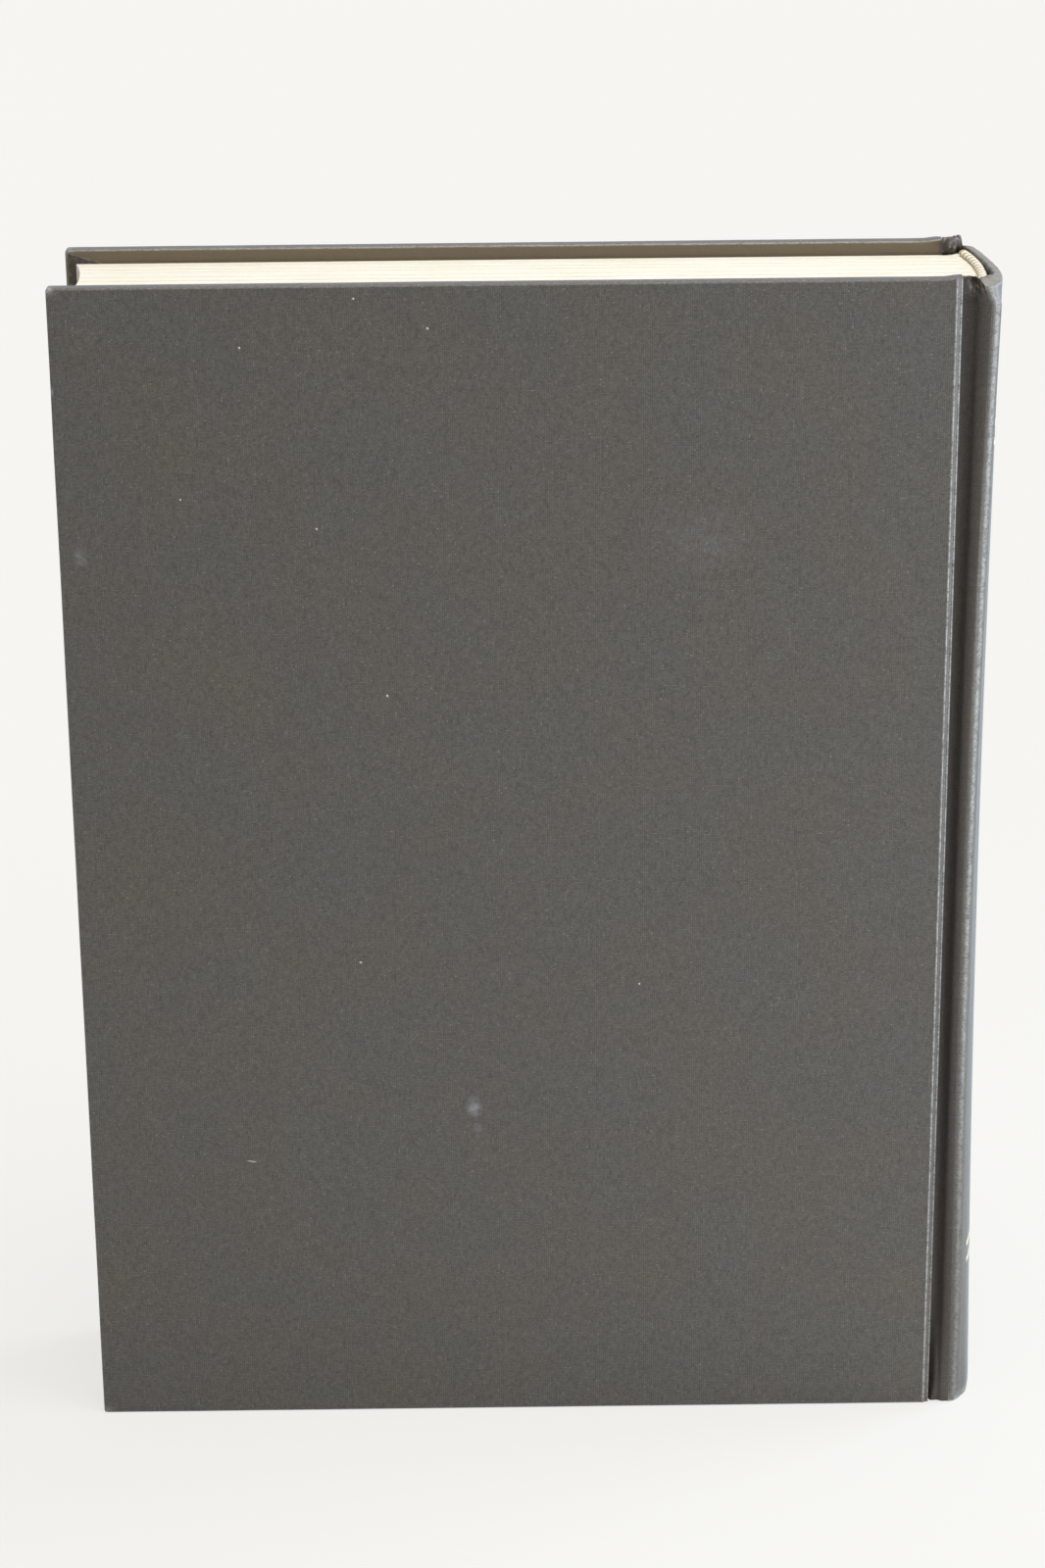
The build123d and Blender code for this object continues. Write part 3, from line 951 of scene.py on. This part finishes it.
def grown(name, tree, sizes):
    """A piece that a geometry tree makes from its sizes, as a plain mesh."""
    piece = new_object(name, bpy.data.meshes.new(name))
    modifier = piece.modifiers.new("grow", "NODES")
    modifier.node_group = tree
    for socket in tree.interface.items_tree:
        if socket.in_out == "INPUT" and socket.name in sizes:
            modifier[socket.identifier] = sizes[socket.name][1]
    return plain_mesh(piece)


def make_pages():
    """The pages: leaves side by side, round at the back, hollow in front and splayed at the shoulders."""
    # A real leaf is 0.1 mm thick, drawn three at a time so that the lines between them show
    half_block = -pages_y
    count = round(2 * half_block / LEAF_PITCH)
    pitch = 2 * half_block / count
    sizes = {
        "Leaves": ("Int", count),
        "Pitch": ("Float", pitch * MM),
        "Thickness": ("Float", LEAF_FILL * pitch * MM),
        "Depth": ("Float", (shoulder_x - pages_low.x) * MM),
        "Height": ("Float", (pages_high.z - pages_low.z) * MM),
        "Round": ("Float", PAGE_ROUND * MM),
        "Half block": ("Float", half_block * MM),
        "Shoulder start": ("Float", floor_x * MM),
        "Shoulder radius": ("Float", (groove_radius + JOINT_DEPTH) * MM),
        "Fore edge": ("Float", pages_low.x * MM),
        "Tail": ("Float", pages_low.z * MM),
        "Trim": ("Float", TRIM_SPREAD * MM),
        "Paper": ("Material", page_paper),
    }
    tree, size = new_tree("page_leaves", sizes)
    radius = size["Shoulder radius"]
    half_pitch = maths(tree, "MULTIPLY", size["Pitch"], 0.5)
    start_y = maths(tree, "SUBTRACT", half_pitch, size["Half block"])
    half_height = maths(tree, "MULTIPLY", size["Height"], 0.5)
    middle_z = maths(tree, "ADD", half_height, size["Tail"])
    start = vector(tree, 0.0, start_y, middle_z)
    step = vector(tree, 0.0, size["Pitch"])
    places = {"Count": size["Leaves"], "Start Location": start, "Offset": step}
    row = add(tree, "GeometryNodeMeshLine", places)
    # A leaf, with its cross lines drawn together towards the spine
    leaf_size = vector(tree, size["Depth"], size["Thickness"], size["Height"])
    cuts = {"Vertices X": 22, "Vertices Y": 2, "Vertices Z": 2}
    leaf = add(tree, "GeometryNodeMeshCube", {"Size": leaf_size, **cuts})
    x, y, z = axes(tree, add(tree, "GeometryNodeInputPosition"))
    share = maths(tree, "DIVIDE", x, size["Depth"])
    rest = maths(tree, "POWER", maths(tree, "SUBTRACT", 0.5, share), 3.0)
    along = maths(tree, "SUBTRACT", 1.0, rest)
    along = maths(tree, "MULTIPLY_ADD", along, size["Depth"], size["Fore edge"])
    leaf = add(tree, "GeometryNodeSetPosition", {"Geometry": leaf, "Position": vector(tree, along, y, z)})
    leaves = add(tree, "GeometryNodeInstanceOnPoints", {"Points": row, "Instance": leaf})
    low_trim = maths(tree, "MULTIPLY", size["Trim"], -1.0)
    low, high = [vector(tree, trim, 0.0, trim) for trim in (low_trim, size["Trim"])]
    spread = {"Min": low, "Max": high, "Seed": 7}
    uneven = add(tree, "FunctionNodeRandomValue", spread, data_type="FLOAT_VECTOR")
    leaves = add(tree, "GeometryNodeTranslateInstances", {"Instances": leaves, "Translation": uneven})
    tint = add(tree, "FunctionNodeRandomValue", {"Seed": 12}, out=1, data_type="FLOAT")
    stored = {"Geometry": leaves, "Name": "leaf", "Value": tint}
    store = "GeometryNodeStoreNamedAttribute"
    leaves = add(tree, store, stored, domain="INSTANCE", data_type="FLOAT")
    leaves = add(tree, "GeometryNodeRealizeInstances", {"Geometry": leaves})
    # The round of the back shifts each leaf, and the shoulders splay them
    x, y, z = axes(tree, add(tree, "GeometryNodeInputPosition"))
    share_y = maths(tree, "DIVIDE", y, size["Half block"])
    rise = maths(tree, "SUBTRACT", 1.0, maths(tree, "MULTIPLY", share_y, share_y))
    new_x = maths(tree, "MULTIPLY_ADD", rise, size["Round"], x)
    past = maths(tree, "MAXIMUM", maths(tree, "SUBTRACT", x, size["Shoulder start"]), 0.0)
    past = maths(tree, "MULTIPLY", past, past)
    round_square = maths(tree, "MULTIPLY", radius, radius)
    fall = maths(tree, "SQRT", maths(tree, "SUBTRACT", round_square, past))
    lift = maths(tree, "SUBTRACT", radius, fall)
    new_y = maths(tree, "MULTIPLY_ADD", share_y, lift, y)
    moved = vector(tree, new_x, new_y, z)
    leaves = add(tree, "GeometryNodeSetPosition", {"Geometry": leaves, "Position": moved})
    leaves = add(tree, "GeometryNodeSetMaterial", {"Geometry": leaves, "Material": size["Paper"]})
    add(tree, "NodeGroupOutput", {0: leaves}, out=None)
    piece = grown("page_leaves", tree, sizes)
    shade(piece.data, 30.0)
    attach(piece, "book_block")
    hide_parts("text_block")


def make_flyleaf(side):
    """The free half of an endpaper, with its gutter carried up over the shoulder."""
    depth = 2 * CLOTH + LEAF_GAP
    outer, inner = groove_lines(depth, depth + PAPER)
    flat = [(x, pages_y - PAPER) for x in lines(pages_low.x, floor_x - 2.0, 20.0)]
    under = [(x, pages_y - 0.02) for x, _ in flat]
    shift = pages_y - inner[0][1] - 0.02

    def eased(line):
        return [(x, y + shift * soft_step((shoulder_x - x) / 3.0)) for x, y in line]

    both_lines = (flat + eased(outer[2:]), under + eased(inner[2:]))
    rim = flat_rim(pages_low.z + LEAF_SHORT, pages_high.z - LEAF_SHORT)
    piece = swept_shell(f"{side}_flyleaf_sheet", side, both_lines, rim, [endpaper])
    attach(piece, "book_block")
    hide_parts(f"{side}_flyleaf")


# Bands
GLUE = 0.2
TAPE = 0.5
WRAP_PITCH = 0.44
WRAP_THREAD = 0.25
WRAP_REACH = 2.1
WRAP_FLAT = 0.7
WRAP_ROUND = 95.0
WRAP_OUT = 0.4
WRAP_SLANT = 0.16
STRIPE_EVERY = 6.0
BAND_SHORT = 2.2
BAND_TUCK = 2.6
BAND_RISE = 0.7


def make_band(name, middle_z, tape_low, tape_high):
    """A band: thread wrapped round a bead, every sixth turn dark, on a tape glued to the pages' back."""
    line_radius = back_radius + GLUE + TAPE / 2
    half_width = back_half - BAND_INSET
    half_angle = atan(half_width / sqrt(line_radius**2 - half_width**2))
    wrap_x = pages_high.x + WRAP_OUT
    near_end, far_end = CAP_CLOSED + BAND_TUCK, half_width - BAND_SHORT
    sizes = {
        "Line radius": ("Float", WRAP_ROUND * MM),
        "Start angle": ("Float", -near_end / WRAP_ROUND),
        "Sweep": ("Float", (near_end + far_end) / WRAP_ROUND),
        "Bead radius": ("Float", (WRAP_REACH / 2 - WRAP_THREAD) * MM),
        "Thread radius": ("Float", WRAP_THREAD * MM),
        "Wraps": ("Int", round((near_end + far_end) / WRAP_PITCH)),
        "Centre": ("Vector", ((wrap_x - WRAP_ROUND) * MM, 0.0, middle_z * MM)),
        "Pale": ("Material", cream_thread),
        "Dark": ("Material", dark_thread),
    }
    tree, size = new_tree(f"{name}_wraps", sizes)
    angles = {"Start Angle": size["Start angle"], "Sweep Angle": size["Sweep"]}
    line = {"Resolution": 48, "Radius": size["Line radius"], **angles}
    path = add(tree, "GeometryNodeCurveArc", line, mode="RADIUS")
    path = add(tree, "GeometryNodeTransform", {"Geometry": path, "Translation": size["Centre"]})
    path = add(tree, "GeometryNodeResampleCurve", {"Curve": path, "Count": size["Wraps"]})
    circle = "GeometryNodeCurvePrimitiveCircle"
    ring = add(tree, circle, {"Resolution": 14, "Radius": size["Bead radius"]})
    thread = add(tree, circle, {"Resolution": 6, "Radius": size["Thread radius"]})
    wrap = add(tree, "GeometryNodeCurveToMesh", {"Curve": ring, "Profile Curve": thread})
    tangent = add(tree, "GeometryNodeInputTangent")
    slant = add(tree, "ShaderNodeVectorMath", {0: tangent, 1: (0.0, 0.0, WRAP_SLANT)}, operation="ADD")
    facing = add(tree, "FunctionNodeAlignRotationToVector", {"Vector": slant}, axis="Z")
    turn_of = maths(tree, "MODULO", add(tree, "GeometryNodeInputIndex"), STRIPE_EVERY)
    compared = {0: turn_of, 1: STRIPE_EVERY - 1.5}
    is_dark = add(tree, "FunctionNodeCompare", compared, operation="GREATER_THAN", data_type="FLOAT")
    is_pale = add(tree, "FunctionNodeBooleanMath", {0: is_dark}, operation="NOT")
    sets = []
    for chosen, colour in ((is_pale, size["Pale"]), (is_dark, size["Dark"])):
        spots = {"Points": path, "Selection": chosen, "Instance": wrap, "Rotation": facing}
        wraps = add(tree, "GeometryNodeInstanceOnPoints", spots)
        wraps = add(tree, "GeometryNodeRealizeInstances", {"Geometry": wraps})
        sets.append(add(tree, "GeometryNodeSetMaterial", {"Geometry": wraps, "Material": colour}))
    core = add(tree, "GeometryNodeCurveToMesh", {"Curve": path, "Profile Curve": ring, "Fill Caps": True})
    sets.append(add(tree, "GeometryNodeSetMaterial", {"Geometry": core, "Material": size["Pale"]}))
    both = add(tree, "GeometryNodeJoinGeometry", out=None)
    for wraps in reversed(sets):
        tree.links.new(wraps, both.inputs[0])
    add(tree, "NodeGroupOutput", {0: both.outputs[0]}, out=None)
    piece = grown(f"{name}_wraps", tree, sizes)
    for point in piece.data.vertices:
        point.co.z = middle_z * MM + WRAP_FLAT * (point.co.z - middle_z * MM)
    shade(piece.data, 60.0)
    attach(piece, "book_block")
    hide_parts(name)
    turns = lines(-half_angle, half_angle, 0.02)
    both_lines = [arc(back_centre_x, line_radius + half, turns) for half in (-TAPE / 2, TAPE / 2)]
    tape = swept_shell(f"{name}_tape", "rear", both_lines, flat_rim(tape_low, tape_high), [cream_thread])
    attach(tape, "book_block")


# Print on the spine: plain rules in pairs, near the head and the tail
RULE_HEIGHTS = (246.0, 250.5, 42.0, 37.5)
RULE_WIDTH = 1.3
RULE_LIFT = 0.05
RULE_TURN = 0.26


def make_rules():
    """Plain stamped rules across the round of the spine."""
    turns = lines(-RULE_TURN, RULE_TURN, 0.012)
    both_lines = [arc(spine_centre_x, spine_radius + lift, turns) for lift in (RULE_LIFT, -RULE_LIFT)]
    for number, z in enumerate(RULE_HEIGHTS):
        rim = flat_rim(z - RULE_WIDTH / 2, z + RULE_WIDTH / 2)
        rule = swept_shell(f"spine_rule_{number}", "rear", both_lines, rim, [foil], shape=on_spine)
        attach(rule, "book_block")


for side in ("rear", "front"):
    make_cover_cloth(side)
    make_pastedown(side)
    make_joint(side)
    make_flyleaf(side)
    for end in ("head", "tail"):
        make_corner_fold(side, end)
make_lint()
make_spine()
make_pages()
head, tail = pages_high.z, pages_low.z
make_band("headband", head + BAND_RISE, head - BAND_HEIGHT, head - LEAF_SHORT)
make_band("tailband", tail - BAND_RISE, tail + LEAF_SHORT, tail + BAND_HEIGHT)
make_rules()

for node, material in (("rear_board", grey_board), ("front_board", grey_board), ("spine_lining", kraft)):
    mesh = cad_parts[node].data
    mesh.materials.clear()
    mesh.materials.append(material)


# Floor, light and camera
def make_floor():
    """A matt white floor, 6 metres square, which fades to off-white round the book."""
    half = 3.0
    corners = [(-half, -half, 0), (half, -half, 0), (half, half, 0), (-half, half, 0)]
    mesh = bpy.data.meshes.new("floor")
    mesh.from_pydata(corners, [], [[0, 1, 2, 3]])
    material, tree, shader = new_material("matt_white_paint")
    feed(tree, shader, {"Base Color": linear("#F0EFEC"), "Roughness": 0.9, "Specular IOR Level": 0.1})
    # In the picture, the floor fades to an even off-white away from the book
    seen = add(tree, "ShaderNodeLightPath", out="Is Camera Ray")
    place = add(tree, "ShaderNodeTexCoord", out="Object")
    away = add(tree, "ShaderNodeVectorMath", {0: place}, out="Value", operation="LENGTH")
    fade = maths(tree, "MULTIPLY", ramp(tree, away, 0.1, 0.5, 0.77, 1.0, "SMOOTHSTEP"), seen)
    even = add(tree, "ShaderNodeEmission", {"Color": linear("#F6F5F2"), "Strength": 1.0})
    both = add(tree, "ShaderNodeMixShader", {0: fade, 1: shader.outputs[0], 2: even})
    feed(tree, tree.nodes["Material Output"], {"Surface": both})
    mesh.materials.append(material)
    floor = new_object("floor", mesh)


def make_world():
    """An even pale surround that the camera sees as off-white."""
    world = bpy.data.worlds.new("studio")
    bpy.context.scene.world = world
    world.use_nodes = True
    tree = world.node_tree
    seen = add(tree, "ShaderNodeLightPath", out=None)
    ambient = add(tree, "ShaderNodeBackground", {"Color": linear("#F4F2EE"), "Strength": 0.23})
    shown = add(tree, "ShaderNodeBackground", {"Color": linear("#F6F5F2"), "Strength": 1.0})
    direct = maths(tree, "MAXIMUM", seen.outputs["Is Camera Ray"], seen.outputs["Is Glossy Ray"])
    direct = maths(tree, "MAXIMUM", direct, seen.outputs["Is Transmission Ray"])
    both = add(tree, "ShaderNodeMixShader", {0: direct, 1: ambient, 2: shown})
    feed(tree, tree.nodes["World Output"], {"Surface": both})


def make_lamp(name, place, aim, size, power, colour):
    """A soft square lamp, in metres and watts, turned towards a point."""
    data = bpy.data.lights.new(name, "AREA")
    data.size = size
    data.energy = power
    data.color = linear(colour)[:3]
    lamp = new_object(name, data)
    lamp.location = place
    lamp.rotation_euler = (Vector(aim) - Vector(place)).to_track_quat("-Z", "Y").to_euler()


def make_camera():
    """The camera at the photograph's place, in millimetres and degrees, with a sensor 36 mm long."""
    place = Vector((-7.01, -854.33, 467.66))
    pan, tilt, roll, lens = 0.3174, 19.9194, 0.5412, 86.151
    data = bpy.data.cameras.new("camera")
    data.sensor_width = 36.0
    data.lens = lens
    turn = Matrix.Rotation(radians(-pan), 4, "Z") @ Matrix.Rotation(radians(90 - tilt), 4, "X")
    turn = turn @ Matrix.Rotation(radians(-roll), 4, "Z")
    camera = new_object("camera", data)
    camera.matrix_world = Matrix.Translation(place * MM) @ turn
    bpy.context.scene.camera = camera


make_floor()
make_world()
middle = (0.0, 0.0, 0.15)
make_lamp("overhead", (0.2, -0.2, 1.6), middle, 1.0, 19.2, "#FFFDF9")
make_lamp("right", (0.95, -0.6, 0.1), middle, 0.5, 12.6, "#ECF4FD")
make_lamp("window", (1.7, 0.7, 0.7), middle, 0.9, 28.5, "#DCEAF8")
make_camera()
bpy.context.scene.view_settings.view_transform = "Standard"
